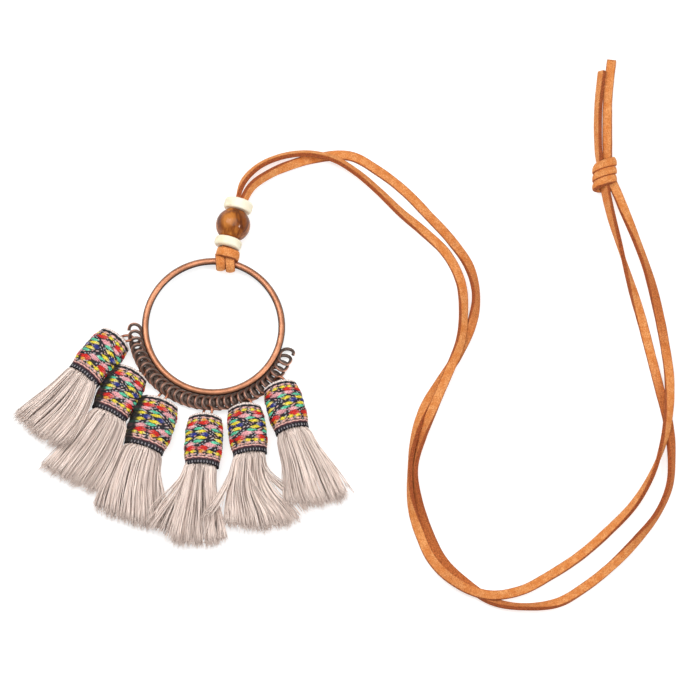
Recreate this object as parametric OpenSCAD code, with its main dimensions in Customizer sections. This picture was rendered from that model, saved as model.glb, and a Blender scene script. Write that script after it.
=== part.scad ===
// Tassel necklace, laid flat: a wire hoop with a spring coil soldered along its lower rim,
// six band-wrapped tassels on jump rings, three beads and a long loop of flat suede lace.
// The hoop's middle is over the origin, the surface it lies on is z = 0, the beads point to +Y.

/* [Hoop] */
// Outer diameter of the hoop
hoop_d = 50; // [40:1:70]
// Diameter of the hoop's wire
hoop_wire = 2.4; // [1.8:0.1:3]

/* [Coil] */
// Outer diameter of the spring coil
coil_d = 5.6; // [5.2:0.1:6]
// Diameter of the coil's wire
coil_wire = 1; // [0.8:0.05:1.1]
// Turns of the coil
coil_turns = 30; // [27:1:32]
// Stretch of the hoop that the coil covers, in degrees
coil_sweep = 158; // [148:1:164]
// Direction of the coil's first turn, in degrees from +X
coil_start = 182.2; // [176:0.2:188]
// Lean of the coil's turns from upright, in degrees
coil_tilt = 34; // [26:1:36]

/* [Jump rings] */
// Outer diameter of a jump ring
jump_d = 5.4; // [5.2:0.1:5.6]
// Diameter of a jump ring's wire
jump_wire = 0.8; // [0.6:0.05:0.8]
// Lean of a jump ring from level, in degrees
jump_tilt = 48; // [46:1:50]

/* [Tassels] */
// Length of the woven band along a tassel
band_l = 17; // [14:0.5:22]
// Width of a wrapped tassel, lying flat
band_w = 13; // [10:0.2:13.6]
// Height of a wrapped tassel, lying flat
band_h = 7.4; // [6.4:0.2:9]
// Thickness of the woven band
band_wall = 1; // [0.8:0.1:1.4]
// Length of the fringe below the band
fringe_l = 27; // [18:0.5:34]

/* [Beads] */
// Diameter of the round wooden bead
wood_d = 12; // [10:0.5:15]
// Length of the wooden bead along its hole
wood_l = 10; // [8:0.2:10.6]
// Diameter of the two flat beads
disc_d = 10; // [8:0.5:13]
// Thickness of the two flat beads
disc_t = 3.7; // [3:0.1:5]
// Diameter of the hole through the beads
bore_d = 5.2; // [5.1:0.1:6]
// Rounding of the flat beads' edges
disc_round = 1; // [0.4:0.1:1.4]
// Direction of the hitch on the hoop, in degrees from +X
hitch_angle = 81.6; // [76:0.2:96]
// Lean of the bead string away from +Y, in degrees
bead_lean = 14.5; // [8:0.5:20]

/* [Lace] */
// Width of the flat lace
lace_w = 3.3; // [2.8:0.1:3.4]
// Thickness of the lace
lace_t = 1.6; // [1.2:0.05:1.7]
// Thickness of the knot, lying flat
knot_h = 5.6; // [5:0.1:7]

/* [Hidden] */
$fn = 48;

// Clearances
fit = 0.1;          // between pieces that touch on the real necklace
yarn_fit = 0.2;     // between the yarn head and the band round it
ring_fit = 0.3;     // round a jump ring where it runs through the yarn
solder = 0.4;       // how far coil and hoop wires melt into each other
hitch_floor = 0.3;  // under the lace where it passes below the hoop

// Levels of detail
coil_steps = 9;     // steps in one turn of the coil
coil_sides = 5;     // sides of the coil's wire
band_sides = 16;    // points round the woven band
lock_sides = 6;     // sides of a lock of yarn

// Hoop and coil
hoop_r = (hoop_d - hoop_wire) / 2;
hoop_z = hitch_floor + lace_t + fit + hoop_wire / 2;
coil_r = (coil_d - coil_wire) / 2;
coil_rise = coil_r * cos(coil_tilt);  // half the height of a leaning turn's middle line
coil_lap = coil_r * sin(coil_tilt);   // how far its top lies back along the hoop
coil_z = coil_rise + coil_wire / 2;
coil_reach = hoop_wire / 2 + coil_wire / 2 - solder;
coil_axis_r = hoop_r + sqrt(pow(coil_reach, 2) - pow(hoop_z - coil_z, 2)) + coil_r;
coil_pitch = coil_sweep / coil_turns;

// Jump rings: each one goes round the outer side of one turn of the coil
jump_r = (jump_d - jump_wire) / 2;
jump_centre_r = coil_axis_r + coil_r - coil_wire / 2 - jump_wire / 2 - fit + jump_r;

// Where each tassel hangs and how it lies. Angles in degrees, the rest as shares:
// side and reach of the ring's size, bend of the band's width, fans, lengths and lifts of the fringe.
HANG_TURN = 0;
HANG_LEAN = 1;
HANG_SIDE = 2;
HANG_REACH = 3;
HANG_BEND = 4;
FAN_LEFT = 5;
FAN_RIGHT = 6;
LEN_LEFT = 7;
LEN_MID = 8;
LEN_RIGHT = 9;
LIFT_LEFT = 10;
LIFT_RIGHT = 11;
TASSELS = [
    [1, 231, -0.48, 1.24, 0, -0.38, 0.44, 0.92, 0.99, 0.84, 0, 0.82],
    [6, 243.5, -0.50, 1.07, 0, -0.38, 0.14, 0.99, 1.00, 0.92, 0, 0],
    [10, 252, -0.10, 1.19, 0, -0.27, 0.50, 0.92, 0.99, 0.90, 0, 0],
    [16, 266.5, -0.24, 1.17, 0, -0.42, 0.33, 0.92, 1.04, 0.90, 0.45, 0],
    [21, 277, -0.22, 1.00, 0.05, -0.52, 0.40, 0.80, 1.00, 0.86, 0.64, 0],
    [26, 285, -0.08, 1.04, 0, -0.27, 0.46, 0.86, 1.00, 0.97, 0.52, 0]
];

// Band sections from mouth to fringe: place along the band, width and height as shares
BAND_SECTIONS = [
    [0, 0.91, 0.84],
    [0.07, 0.96, 0.93],
    [0.25, 1, 1],
    [0.7, 1.01, 1],
    [1, 0.95, 0.96]
];
HEAD_END = [1.04, 0.95, 0.96];  // the yarn where it leaves the band
fold = [0.36, 0.5];  // width and height of the yarn folded over the jump ring, as shares
band_square = 2.6;  // how square the flattened band is, 2 is an ellipse
band_arch = 1.2;    // how far the upper side of the band's mouth stands out
fold_at = 1.05;     // from the middle of the jump ring to the top of the fold, at most
fold_out = 0.6;     // the fold's least length outside the band

// Locks of a fringe: side from left to right, layer from the floor up, length and breadth as shares
LOCKS = [
    [-0.92, 0, 0.96, 0.9],
    [-0.32, 0, 1.00, 1],
    [0.32, 0, 0.98, 1],
    [0.92, 0, 0.98, 0.9],
    [-0.62, 1, 0.94, 1],
    [0, 1, 0.97, 1],
    [0.62, 1, 0.95, 1]
];
// Sections of a lock: place along the fringe, breadth and height as shares
LOCK_SECTIONS = [
    [0, 0.70, 1],
    [0.38, 0.82, 0.9],
    [0.74, 1, 0.72],
    [1, 0.92, 0.52]
];
lock_w = 7.8;       // breadth of a lock at its widest
lock_h = 3.4;       // height of a lock where it leaves the band
lock_cut = 0.2;     // length of the slice that a lock's section is
lock_flare = 1.4;   // how late the locks spread
lock_gather = 0.4;  // how much of its place in the band a lock keeps at its end
layer_rise = 0.62;  // height of the upper layer where it leaves the band, as a share of a lock
layer_sink = 0.3;   // how far it has sunk at its end

// Bead string: distances from the hoop's wire along the string
string_z = wood_d / 2;
bar_from = hoop_wire / 2;
bar_to = bar_from + lace_w;
lower_at = bar_to + fit + disc_t / 2;
wood_at = lower_at + disc_t / 2 + fit + wood_l / 2;
upper_at = wood_at + wood_l / 2 + fit + disc_t / 2;
string_end = upper_at + disc_t / 2 + fit;
bar_w = 7.7;        // across the bar of the hitch
bar_over = 0.5;     // the bar above the laces it holds
bar_h = string_z + lace_w / 2 + bar_over - hitch_floor;
bar_waist = 0.86;   // the bar's height under its round ends, as a share
wrap_slack = 0.6;   // slack of the wraps inside the hoop

// Lace routes from the beads to the knot: x, y, height of the lace's underside, twist in degrees
POINT_LIFT = 2;
POINT_TWIST = 3;
ROUTE_A = [
    [10.7, 53.2, 2.2, 85], [15.4, 58.6, 0.5, 80], [23.6, 62.4, 0.4, 75], [34, 63, 1.8, 70],
    [42.6, 60.8, 1.8, 72], [50.2, 56.4, 0.3, 72], [57.6, 49.9, 0, 70], [65.4, 42.1, 0, 50],
    [73.4, 35.2, 0, 20], [81.2, 27.4, 0, 0], [86.2, 17, 0, 0], [87.2, 6, 1.5, 0],
    [86, -5.5, 1.9, 0], [82, -16.2, 1.9, 0], [78, -27.2, 1.5, 0], [73.1, -39.5, 0, 75],
    [70.4, -51, 0, 85], [71, -62.5, 0, 85], [74.4, -73.5, 0, 80], [80.6, -83, 0, 60],
    [88.4, -91.8, 0, 0], [97.5, -99.6, 0, 0], [108.5, -102, 0, -10], [120, -100.4, 0, 0],
    [130.5, -94.4, 0, 0], [140, -86.2, 0, 10], [148.4, -76.6, 0, 40], [155.4, -67, 0, 70],
    [159.6, -57, 0, 80], [160.4, -46, 0, 50], [159.4, -34.5, 0, 0], [156.6, -22.5, 0, 0],
    [153.6, -10, 0, 0], [150.4, 3, 0, 0], [146.6, 16, 0, 10], [142.6, 30, 0, 30],
    [138.9, 42, 0.2, 40], [137.1, 49.6, 1, 40]
];
ROUTE_B = [
    [13.3, 50.9, 2.4, 85], [19.4, 56, 0.5, 60], [27.6, 59.8, 0, 15], [37, 62.4, 0, 0],
    [47.8, 62.9, 0, 0], [57.6, 57.4, 0, 0], [67, 49.8, 0, 0], [75.2, 41, 0, 0],
    [83.4, 31.6, 0, 0], [89.4, 22, 0, 40], [91.6, 11.5, 0, 60], [89.9, 1, 0, 0],
    [85.2, -9.5, 0, 0], [79.2, -19, 0, 0], [73.4, -28.4, 0, 0], [69.7, -39.5, 0, 75],
    [67.9, -51, 0, 85], [68.1, -62.5, 0, 60], [70.4, -73.5, 0, 10], [75.4, -83.6, 0.3, 0],
    [83.4, -92.2, 1.8, 0], [95.5, -97.5, 1.9, 0], [107, -96.0, 0.9, 0], [117.6, -91.5, 0, 0],
    [128, -83.4, 0, 0], [138, -74, 0, 0], [147, -64, 0, 0], [153.2, -52.5, 0.6, -20],
    [157, -41, 2.3, -10], [159.2, -29.5, 2.1, 0], [159.6, -18, 1.5, 0], [158.4, -6, 0.2, 0],
    [156, 7, 0, 10], [152.8, 20, 0, 20], [148.4, 32, 0, 20], [143.8, 43, 0.2, 20],
    [140.6, 50.2, 1, 20]
];
TAIL_LEFT = [[135, 60.7, 1, 85], [134.8, 71, 0, 85], [135, 82, 0, 80], [135.9, 93.2, 0, 70]];
TAIL_RIGHT = [[137.7, 61, 1, 20], [137.8, 72, 0, 10], [138.1, 85, 0, 0], [139.4, 97.2, 0, 0]];

// Knot: where it lies and its size in plan
knot_at = [136.7, 55.2];
knot_l = 9.8;
knot_w = 8.2;
knot_turns = 3;
knot_slant = 24;
knot_core = [0.8, 0.7];  // core inside the wraps, as shares of the knot's width and height
wrap_share = 0.9;        // height of a wrap as a share of the step between wraps

function unit(v) = v / norm(v);
function ahead(path, i) =
    unit(path[min(i + 1, len(path) - 1)] - path[max(i - 1, 0)]);

// One closed skin over rings of points: sides first, then both ends
function skin_faces(rings, sides) = concat(
    [for (r = [0 : rings - 2], s = [0 : sides - 1])
        [r * sides + s, r * sides + (s + 1) % sides, (r + 1) * sides + (s + 1) % sides]],
    [for (r = [0 : rings - 2], s = [0 : sides - 1])
        [r * sides + s, (r + 1) * sides + (s + 1) % sides, (r + 1) * sides + s]],
    [for (s = [1 : sides - 2]) [0, s + 1, s]],
    [for (s = [1 : sides - 2])
        [(rings - 1) * sides, (rings - 1) * sides + s, (rings - 1) * sides + s + 1]]
);

// The spring coil: over the top from the outer side to the inner side, gaining ground anticlockwise.
// Its turns lean back along the hoop, so that each one laps the turn before it.
function coil_point(turn) =
    let (
        around = 360 * turn,
        r = coil_axis_r + coil_r * cos(around),
        along = coil_start + coil_pitch * turn,
        lead = -coil_lap * sin(around)
    )
    [
        r * cos(along) - lead * sin(along),
        r * sin(along) + lead * cos(along),
        coil_z + coil_rise * sin(around)
    ];

module wire(path, d, sides) {
    rings = [for (i = [0 : len(path) - 1])
        let (
            t = ahead(path, i),
            s = unit(cross(t, [0, 0, 1])),
            u = cross(s, t)
        )
        for (k = [0 : sides - 1])
            path[i] + d / 2 * (cos(360 * k / sides) * s + sin(360 * k / sides) * u)
    ];
    polyhedron(rings, skin_faces(len(path), sides), convexity = 10);
}

module hoop() {
    color("peru") union() {
        translate([0, 0, hoop_z]) rotate_extrude() translate([hoop_r, 0]) circle(d = hoop_wire);
        wire([for (i = [0 : coil_turns * coil_steps]) coil_point(i / coil_steps)],
            coil_wire, coil_sides);
    }
}

function jump_angle(k) = coil_start + coil_pitch * TASSELS[k - 1][HANG_TURN];
function jump_centre(k) = jump_centre_r * [cos(jump_angle(k)), sin(jump_angle(k))];

// A ring of round wire, leaning so that it clears the turns on both sides of its own
module ring_round_turn(k, wire_d) {
    translate([jump_centre(k).x, jump_centre(k).y, coil_z])
        rotate([0, 0, jump_angle(k)]) rotate([jump_tilt, 0, 0])
            rotate_extrude() translate([jump_r, 0]) circle(d = wire_d, $fn = 24);
}

module jump_ring(k) {
    color("sienna") ring_round_turn(k, jump_wire);
}

// Puts a tassel made along +X, mouth at x = 0, on its jump ring
module hang(k) {
    t = TASSELS[k - 1];
    translate([jump_centre(k).x, jump_centre(k).y, 0])
        rotate(t[HANG_LEAN])
            translate([t[HANG_REACH] * jump_d / 2, t[HANG_SIDE] * jump_d, 0])
                children();
}

function oval(w, h, n) = [for (i = [0 : n - 1])
    let (c = cos(360 * i / n), s = sin(360 * i / n))
    [w / 2 * sign(c) * pow(abs(c), 2 / band_square), h / 2 * sign(s) * pow(abs(s), 2 / band_square)]
];

// One ring of points of the band, or of the space inside it
function band_ring(section, bend, inset) =
    let (w = band_w * section[1], h = band_h * section[2], x = band_l * section[0])
    [for (p = oval(w - 2 * inset, h - 2 * inset, band_sides))
        let (arch = band_arch * max(0, 1 - section[0]) * (1 - pow(2 * p.x / w, 2)) * (0.5 + p.y / h))
        [x - arch, p.x + bend * band_w * sin(180 * section[0]), p.y + h / 2]];

function tube_faces(rings, sides) = let (inner = rings * sides) concat(
    [for (r = [0 : rings - 2], s = [0 : sides - 1])
        [r * sides + s, (r + 1) * sides + (s + 1) % sides, r * sides + (s + 1) % sides]],
    [for (r = [0 : rings - 2], s = [0 : sides - 1])
        [r * sides + s, (r + 1) * sides + s, (r + 1) * sides + (s + 1) % sides]],
    [for (r = [0 : rings - 2], s = [0 : sides - 1])
        inner * [1, 1, 1] + [r * sides + s, r * sides + (s + 1) % sides, (r + 1) * sides + (s + 1) % sides]],
    [for (r = [0 : rings - 2], s = [0 : sides - 1])
        inner * [1, 1, 1] + [r * sides + s, (r + 1) * sides + (s + 1) % sides, (r + 1) * sides + s]],
    [for (s = [0 : sides - 1]) [s, (s + 1) % sides, inner + (s + 1) % sides]],
    [for (s = [0 : sides - 1]) [s, inner + (s + 1) % sides, inner + s]],
    let (last = (rings - 1) * sides)
    [for (s = [0 : sides - 1]) [last + s, inner + last + (s + 1) % sides, last + (s + 1) % sides]],
    let (last = (rings - 1) * sides)
    [for (s = [0 : sides - 1]) [last + s, inner + last + s, inner + last + (s + 1) % sides]]
);

module band(k) {
    bend = TASSELS[k - 1][HANG_BEND];
    skins = [for (inset = [0, band_wall], section = BAND_SECTIONS)
        for (p = band_ring(section, bend, inset)) p];
    color("darkslateblue") hang(k)
        polyhedron(skins, tube_faces(len(BAND_SECTIONS), band_sides), convexity = 4);
}

// The yarn folded over the jump ring, then inside the band, a little smaller than the band's inside
module yarn_head(t) {
    inset = band_wall + yarn_fit;
    top = [for (p = oval(band_w * fold[0], band_h * fold[1], band_sides))
        [min(fold_at - t[HANG_REACH] * jump_d / 2, -band_arch - fold_out),
            p.x - t[HANG_SIDE] * jump_d, p.y + coil_z + fit]];
    inside = [for (section = concat(BAND_SECTIONS, [HEAD_END]))
        for (p = band_ring(section, t[HANG_BEND], inset)) p];
    polyhedron(concat(top, inside), skin_flipped(len(BAND_SECTIONS) + 2, band_sides), convexity = 4);
}

function skin_flipped(rings, sides) =
    [for (f = skin_faces(rings, sides)) [f[0], f[2], f[1]]];

// Middle of a lock at a share of the fringe's length
function lock_point(t, lock, section) =
    let (
        side = lock[0],
        share = section[0],
        long = side < 0
            ? t[LEN_MID] + (t[LEN_LEFT] - t[LEN_MID]) * side * side
            : t[LEN_MID] + (t[LEN_RIGHT] - t[LEN_MID]) * side * side,
        root = side * (band_w / 2 - band_wall - lock_w / 4),
        fan = t[FAN_LEFT] + (t[FAN_RIGHT] - t[FAN_LEFT]) * (side + 1) / 2,
        raise = side < 0 ? -side * t[LIFT_LEFT] : side * t[LIFT_RIGHT],
        h = lock_h * section[2],
        layer = lock[1] * lock_h * (layer_rise - layer_sink * share)
    )
    [
        band_l + yarn_fit + fringe_l * long * lock[2] * share,
        root * (1 - share) + fringe_l * fan * pow(share, lock_flare) + root * share * lock_gather,
        h / 2 + layer + raise * band_h * share + (band_wall + yarn_fit) * (1 - share)
    ];

module lock_end(t, lock, section) {
    translate(lock_point(t, lock, section))
        scale([lock_cut, lock_w * lock[3] * section[1], lock_h * section[2]])
            rotate([0, 90, 0]) cylinder(d = 1, h = 1, center = true, $fn = lock_sides);
}

module fringe(k) {
    t = TASSELS[k - 1];
    color("rosybrown") difference() {
        hang(k) union() {
            yarn_head(t);
            for (lock = LOCKS, i = [0 : len(LOCK_SECTIONS) - 2])
                hull() {
                    lock_end(t, lock, LOCK_SECTIONS[i]);
                    lock_end(t, lock, LOCK_SECTIONS[i + 1]);
                }
        }
        ring_round_turn(k, jump_wire + 2 * ring_fit);
    }
}

// Puts what is made along +Y, from the hoop's wire, on the bead string
module on_string(at) {
    translate([hoop_r * cos(hitch_angle), hoop_r * sin(hitch_angle), 0])
        rotate(-bead_lean)
            translate([0, at, 0])
                children();
}

function string_point(at, side) =
    let (foot = hoop_r * [cos(hitch_angle), sin(hitch_angle)])
    [
        foot.x + at * sin(bead_lean) + side * cos(bead_lean),
        foot.y + at * cos(bead_lean) - side * sin(bead_lean),
        string_z
    ];

module slab(w, h, thick) {
    linear_extrude(thick, center = true) union() {
        square([w - h, h], center = true);
        for (side = [-1, 1]) translate([side * (w - h) / 2, 0]) circle(d = h);
    }
}

// Bar across the two laces, and the two wraps that hold the hoop
module lace_hitch() {
    wrap_h = hoop_wire + 2 * fit + 2 * lace_t;
    wrap_l = wrap_h / 2 + wrap_slack + bar_to - lace_w / 3;
    color("peru") difference() {
        union() {
            on_string((bar_from + bar_to) / 2)
                translate([0, 0, hitch_floor + bar_h / 2])
                    rotate([90, 0, 0]) slab(bar_w, bar_h * bar_waist, lace_w);
            for (side = [-1, 1])
                on_string(wrap_l / 2 - wrap_h / 2 - wrap_slack)
                    translate([side * (lace_w + fit) / 2, 0, hoop_z])
                        rotate([90, 0, 90]) slab(wrap_l, wrap_h, lace_w);
        }
        translate([0, 0, hoop_z])
            rotate_extrude() translate([hoop_r, 0]) circle(d = hoop_wire + 2 * fit);
    }
}

module disc_bead(at) {
    color("ivory") on_string(at) translate([0, 0, string_z]) rotate([90, 0, 0])
        rotate_extrude() difference() {
            union() {
                translate([0, -disc_t / 2]) square([disc_d / 2 - disc_round, disc_t]);
                translate([0, -disc_t / 2 + disc_round]) square([disc_d / 2, disc_t - 2 * disc_round]);
                for (end = [-1, 1])
                    translate([disc_d / 2 - disc_round, end * (disc_t / 2 - disc_round)])
                        circle(r = disc_round);
            }
            translate([-disc_d, -disc_t]) square([disc_d + bore_d / 2, 2 * disc_t]);
        }
}

module bead_lower() {
    disc_bead(lower_at);
}

module bead_upper() {
    disc_bead(upper_at);
}

module bead_wood() {
    color("saddlebrown") on_string(wood_at) translate([0, 0, string_z]) rotate([90, 0, 0])
        rotate_extrude() difference() {
            intersection() {
                circle(d = wood_d, $fn = 96);
                translate([0, -wood_l / 2]) square([wood_d, wood_l]);
            }
            translate([-wood_d, -wood_d]) square([wood_d + bore_d / 2, 2 * wood_d]);
        }
}

// The lace's section: a flat strip with its four corners cut
function lace_section() = let (w = lace_w / 2, h = lace_t / 2, c = lace_t / 4) [
    [w, h - c], [w - c, h], [c - w, h], [-w, h - c],
    [-w, c - h], [c - w, -h], [w - c, -h], [w, c - h]
];
function lace_half(twist) =
    max([for (p = lace_section()) p.x * sin(twist) + p.y * cos(twist)]);
function lace_middle(p) = [p.x, p.y, p[POINT_LIFT] + lace_half(p[POINT_TWIST])];

module lace(middles, twists) {
    rings = [for (i = [0 : len(middles) - 1])
        let (
            t = ahead(middles, i),
            s = unit(cross(t, [0, 0, 1])),
            u = cross(s, t)
        )
        for (p = lace_section())
            middles[i] + (p.x * cos(twists[i]) - p.y * sin(twists[i])) * s
                + (p.x * sin(twists[i]) + p.y * cos(twists[i])) * u
    ];
    color("chocolate") polyhedron(rings, skin_faces(len(middles), len(lace_section())), convexity = 10);
}

// A neck lace: on edge through the beads, then along its route
module neck_lace(route, side) {
    offset_side = side * (lace_t + fit) / 2;
    lace(
        concat(
            [string_point(bar_to + fit / 2, offset_side), string_point(string_end, offset_side)],
            [for (p = route) lace_middle(p)]
        ),
        concat([90, 90], [for (p = route) p[POINT_TWIST]])
    );
}

module lace_a() {
    neck_lace(ROUTE_A, -1);
}

module lace_b() {
    neck_lace(ROUTE_B, 1);
}

module tail(route) {
    lace([for (p = route) lace_middle(p)], [for (p = route) p[POINT_TWIST]]);
}

module tail_left() {
    tail(TAIL_LEFT);
}

module tail_right() {
    tail(TAIL_RIGHT);
}

// Overhand knot: wraps of lace, one above the other, rising to the right
module lace_knot() {
    wrap = knot_l / (knot_turns + 0.4);
    color("chocolate") translate([knot_at.x, knot_at.y, knot_h / 2]) union() {
        rotate([90, 0, 0]) slab(knot_w * knot_core[0], knot_h * knot_core[1], knot_l);
        for (i = [0 : knot_turns - 1])
            translate([0, (i - (knot_turns - 1) / 2) * wrap, 0])
                rotate([90, 0, knot_slant]) slab(knot_w, knot_h, wrap * wrap_share);
    }
}

hoop();
for (k = [1 : 6]) jump_ring(k);
for (k = [1 : 6]) band(k);
for (k = [1 : 6]) fringe(k);
lace_hitch();
bead_lower();
bead_wood();
bead_upper();
lace_a();
lace_b();
lace_knot();
tail_left();
tail_right();
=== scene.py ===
import math

import bpy
import numpy as np
from mathutils import Matrix, Vector


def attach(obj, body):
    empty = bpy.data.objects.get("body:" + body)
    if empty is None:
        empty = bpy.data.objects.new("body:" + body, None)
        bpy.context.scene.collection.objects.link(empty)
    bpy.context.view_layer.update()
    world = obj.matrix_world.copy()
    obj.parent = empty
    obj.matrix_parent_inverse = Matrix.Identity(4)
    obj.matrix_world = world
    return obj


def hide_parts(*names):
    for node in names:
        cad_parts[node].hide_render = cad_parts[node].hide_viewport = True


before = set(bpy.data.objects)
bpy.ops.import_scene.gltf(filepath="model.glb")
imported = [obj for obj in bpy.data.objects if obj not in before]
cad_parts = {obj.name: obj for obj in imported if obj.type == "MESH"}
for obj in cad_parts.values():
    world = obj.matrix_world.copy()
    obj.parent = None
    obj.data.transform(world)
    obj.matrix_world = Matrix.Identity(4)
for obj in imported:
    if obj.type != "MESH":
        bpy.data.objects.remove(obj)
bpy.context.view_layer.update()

# Camera: a catalogue view of the necklace lying flat, from its tassels' side and steeply from above.
# A long lens far away keeps the loop and the pendant at one scale.
view_middle = Vector((0.0476, -0.0082, 0.0025))
view_width = 0.244
view_elevation = math.radians(74)
camera_data = bpy.data.cameras.new("Catalogue camera")
camera_data.lens = 600
camera_data.sensor_width = 36
camera_data.clip_end = 20
camera_away = view_width * camera_data.lens / camera_data.sensor_width
camera = bpy.data.objects.new("Catalogue camera", camera_data)
camera_way = Vector((0, -math.cos(view_elevation), math.sin(view_elevation)))
camera.location = view_middle + camera_away * camera_way
camera.rotation_euler = (math.pi / 2 - view_elevation, 0, 0)
bpy.context.scene.collection.objects.link(camera)
bpy.context.scene.camera = camera

# Neck laces: two flat strips of orange suede, cut from a hide, so their narrow sides are raw and darker, a
# darkness that is partly painted shade.
# They come out of the beads on edge, then twist, cross three times and lie on the surface up to the knot.
lace_wide = 0.0033
lace_thick = 0.0016
lace_corner = 0.0003
hoop_middle_r = 0.0238
hitch_angle = math.radians(81.6)
string_lean = math.radians(14.5)
string_height = 0.006
string_start = 0.00455
string_halfway = 0.013
string_end = 0.0223
lace_gap = 0.0001
lace_step = 0.0009
# The cut sides waver by a share of the width, in three waves at once
lace_waver = 0.012
lace_waves = (0.0043, 0.0071, 0.0127)
waver_step = 0.0007

# Each row is x, y, height of the underside in metres, the twist in degrees and how dark its face is painted
# there, partly the brushed nap's own tone and partly painted shade
route_a = [
    (0.0107, 0.0532, 0.0022, 62, 0), (0.0154, 0.0586, 0.0005, 60, 0), (0.0236, 0.0624, 0.0004, 58, 0),
    (0.034, 0.063, 0.0018, 56, 0), (0.0426, 0.0608, 0.0018, 54, 0), (0.0502, 0.0564, 0.0003, 52, 0),
    (0.0576, 0.0499, 0, 50, 0), (0.0654, 0.0421, 0, 38, 0), (0.0734, 0.0352, 0, 16, 0.1),
    (0.0812, 0.0274, 0, 0, 0), (0.0862, 0.017, 0, 15, 0.1), (0.0872, 0.006, 0.0015, 40, 0),
    (0.086, -0.0055, 0.0019, 42, 0), (0.082, -0.0162, 0.0019, 10, 0), (0.0774, -0.0272, 0.0015, 0, 0),
    (0.0727, -0.0395, 0, -46, 0.4), (0.0702, -0.051, 0, -76, 0.8), (0.0713, -0.0625, 0, -55, 1),
    (0.0747, -0.0735, 0, -24, 1), (0.0796, -0.0835, 0, -12, 1), (0.0882, -0.0922, 0, 0, 0.9),
    (0.0975, -0.0987, 0, 40, 0.7), (0.109, -0.1005, 0, 50, 0.6), (0.12, -0.0988, 0, 20, 0.1),
    (0.1288, -0.0934, 0, 0, 0), (0.1384, -0.0856, 0, -14, 0), (0.1474, -0.0762, 0, -52, 0.3),
    (0.1544, -0.067, 0, -76, 0.8), (0.1586, -0.057, 0, -68, 1), (0.1594, -0.046, 0, -56, 1),
    (0.1584, -0.0345, 0, -14, 1), (0.1556, -0.0225, 0, 0, 0.6), (0.1526, -0.01, 0, 0, 0),
    (0.1494, 0.003, 0, -10, 0), (0.1457, 0.016, 0, -54, 0), (0.1419, 0.03, 0, -98, 0.3),
    (0.1387, 0.042, 0.0002, -128, 0.3), (0.1371, 0.0496, 0.001, -138, 0.4),
    (0.1366, 0.0528, 0.0016, -140, 0.4),
]
route_b = [
    (0.0133, 0.0509, 0.0024, -60, 0), (0.0194, 0.056, 0.0005, -56, 0), (0.0276, 0.0598, 0, -34, 0),
    (0.037, 0.0624, 0, 0, 0), (0.0478, 0.0629, 0, 0, 0), (0.0576, 0.0574, 0, 0, 0.1),
    (0.067, 0.0498, 0, 0, 0), (0.0752, 0.041, 0, 0, 0.1), (0.0834, 0.0316, 0, 0, 0.3),
    (0.0894, 0.022, 0, 30, 0.5), (0.0916, 0.0115, 0, 55, 0.7), (0.0899, 0.001, 0, 20, 0.5),
    (0.0852, -0.0095, 0, 0, 0.3), (0.0792, -0.019, 0, 0, 0.2), (0.0737, -0.0284, 0, -25, 0.1),
    (0.07, -0.0395, 0, -62, 0.2), (0.0685, -0.051, 0, -85, 0.8), (0.0688, -0.0625, 0, -62, 0.2),
    (0.0716, -0.0735, 0, -12, 0), (0.0762, -0.0838, 0.0003, 0, 0.1), (0.0838, -0.0917, 0.0018, 0, 0.3),
    (0.0955, -0.0966, 0.0019, 0, 0.1), (0.107, -0.0947, 0.0009, -8, 0), (0.1166, -0.0893, 0, 0, 0),
    (0.1272, -0.0822, 0, 8, 0), (0.137, -0.0735, 0, 20, 0), (0.1462, -0.0637, 0, 42, 0),
    (0.1528, -0.0525, 0.0006, 70, 0.2), (0.1568, -0.041, 0.0022, 112, 0), (0.1586, -0.0295, 0.0021, 142, 0),
    (0.1588, -0.018, 0.0015, 165, 0), (0.1574, -0.006, 0.0002, 180, 0.5), (0.155, 0.007, 0, 165, 0.9),
    (0.1518, 0.02, 0, 132, 0.7), (0.1477, 0.032, 0, 130, 0.1), (0.1435, 0.043, 0.0002, 160, 0),
    (0.1406, 0.0502, 0.001, 175, 0), (0.1392, 0.0532, 0.0018, 190, 0),
]
route_tail_left = [
    (0.1354, 0.0578, 0.0018, 80, 0), (0.135, 0.0607, 0.001, 70, 0.1), (0.1345, 0.071, 0, 60, 0.2),
    (0.1348, 0.082, 0, 58, 0.1), (0.1361, 0.0938, 0, 52, 0),
]
route_tail_right = [
    (0.1375, 0.058, 0.0018, 25, 0), (0.1377, 0.061, 0.001, 20, 0.1), (0.1378, 0.072, 0, 10, 0),
    (0.1381, 0.085, 0, 0, 0), (0.1395, 0.0981, 0, 0, 0),
]


def half_height(twist):
    """Half of the room that the twisted strip takes up and down."""
    s, c = np.abs(np.sin(twist)), np.abs(np.cos(twist))
    return (lace_wide / 2 - lace_corner) * s + (lace_thick / 2 - lace_corner) * c + lace_corner


def string_place(along, side, height):
    """A point by its distance along the bead string, its side and its height."""
    x = hoop_middle_r * math.cos(hitch_angle) + along * math.sin(string_lean) + side * math.cos(string_lean)
    y = hoop_middle_r * math.sin(hitch_angle) + along * math.cos(string_lean) - side * math.sin(string_lean)
    return np.array([x, y, height])


def string_row(along, side, twist=90):
    """A row of a route on the bead string, where the lace stands on edge."""
    return (*string_place(along, side, string_height - lace_wide / 2), twist, 0)


def eased(here, there, slope_here, slope_there, t):
    """The smooth curve from one value to the next, t from 0 to 1, that keeps both slopes."""
    return (
        here * (2 * t**3 - 3 * t**2 + 1) + there * (3 * t**2 - 2 * t**3)
        + slope_here * (t**3 - 2 * t**2 + t) + slope_there * (t**3 - t**2)
    )


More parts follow.
